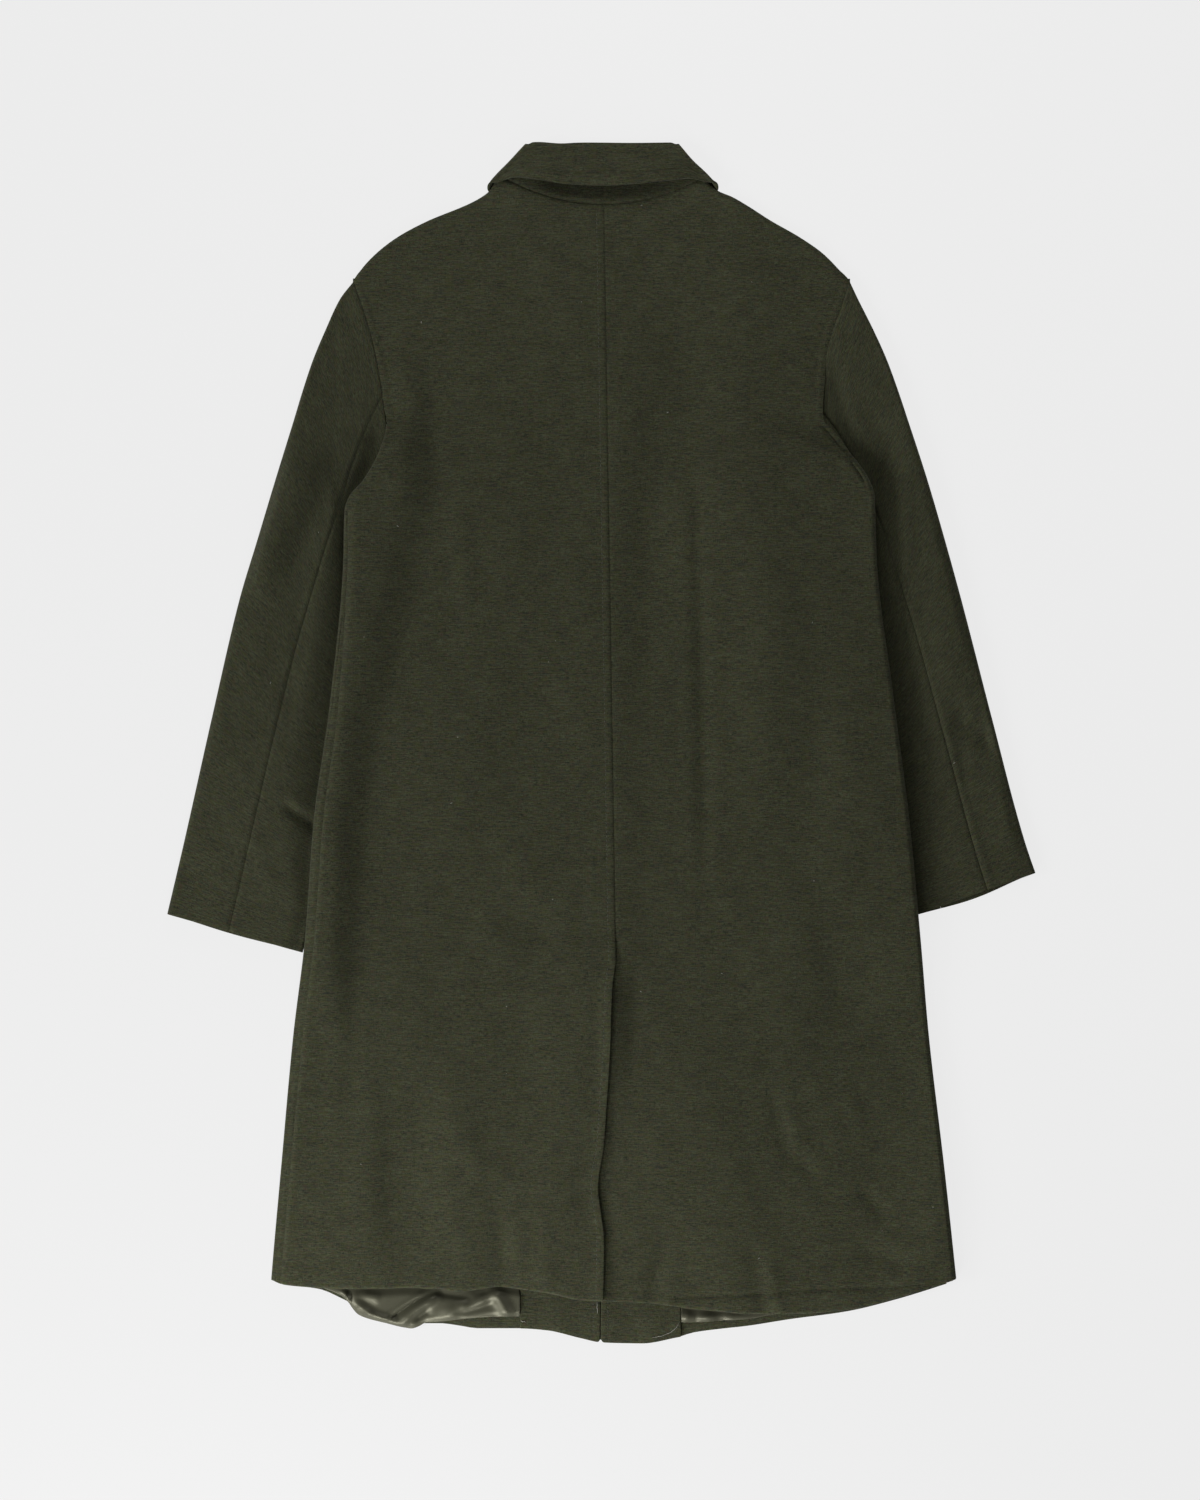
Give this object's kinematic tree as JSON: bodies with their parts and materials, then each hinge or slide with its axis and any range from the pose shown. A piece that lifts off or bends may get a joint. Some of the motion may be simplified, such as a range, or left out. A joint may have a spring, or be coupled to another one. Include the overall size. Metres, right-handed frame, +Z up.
{
  "type": "overcoat laid flat",
  "caption": "Long wool overcoat laid flat with its back up: centre back seam and vent, set-in sleeves, turned-down collar, satin lining showing at the hem.",
  "frame": {"origin": "middle of the coat's box, on the surface that it lies on", "axes": "+Y from the hem to the collar, +X to the right seen from above, +Z up out of the back of the coat"},
  "size_m": [0.8674, 1.2, 0.0187],
  "materials": {
    "wool_cloth": "milled wool, dark olive melange",
    "satin_lining": "satin, olive grey"
  },
  "bodies": {
    "root": {"back_left": "wool_cloth", "back_right": "wool_cloth", "front_left": "wool_cloth", "front_right": "wool_cloth", "facing_left": "wool_cloth", "facing_right": "wool_cloth", "lining_left": "satin_lining", "lining_right": "satin_lining", "sleeve_top_left": "wool_cloth", "sleeve_top_right": "wool_cloth", "sleeve_under_left": "wool_cloth", "sleeve_under_right": "wool_cloth", "collar_stand": "wool_cloth", "collar_fall": "wool_cloth"}
  },
  "joints": []
}
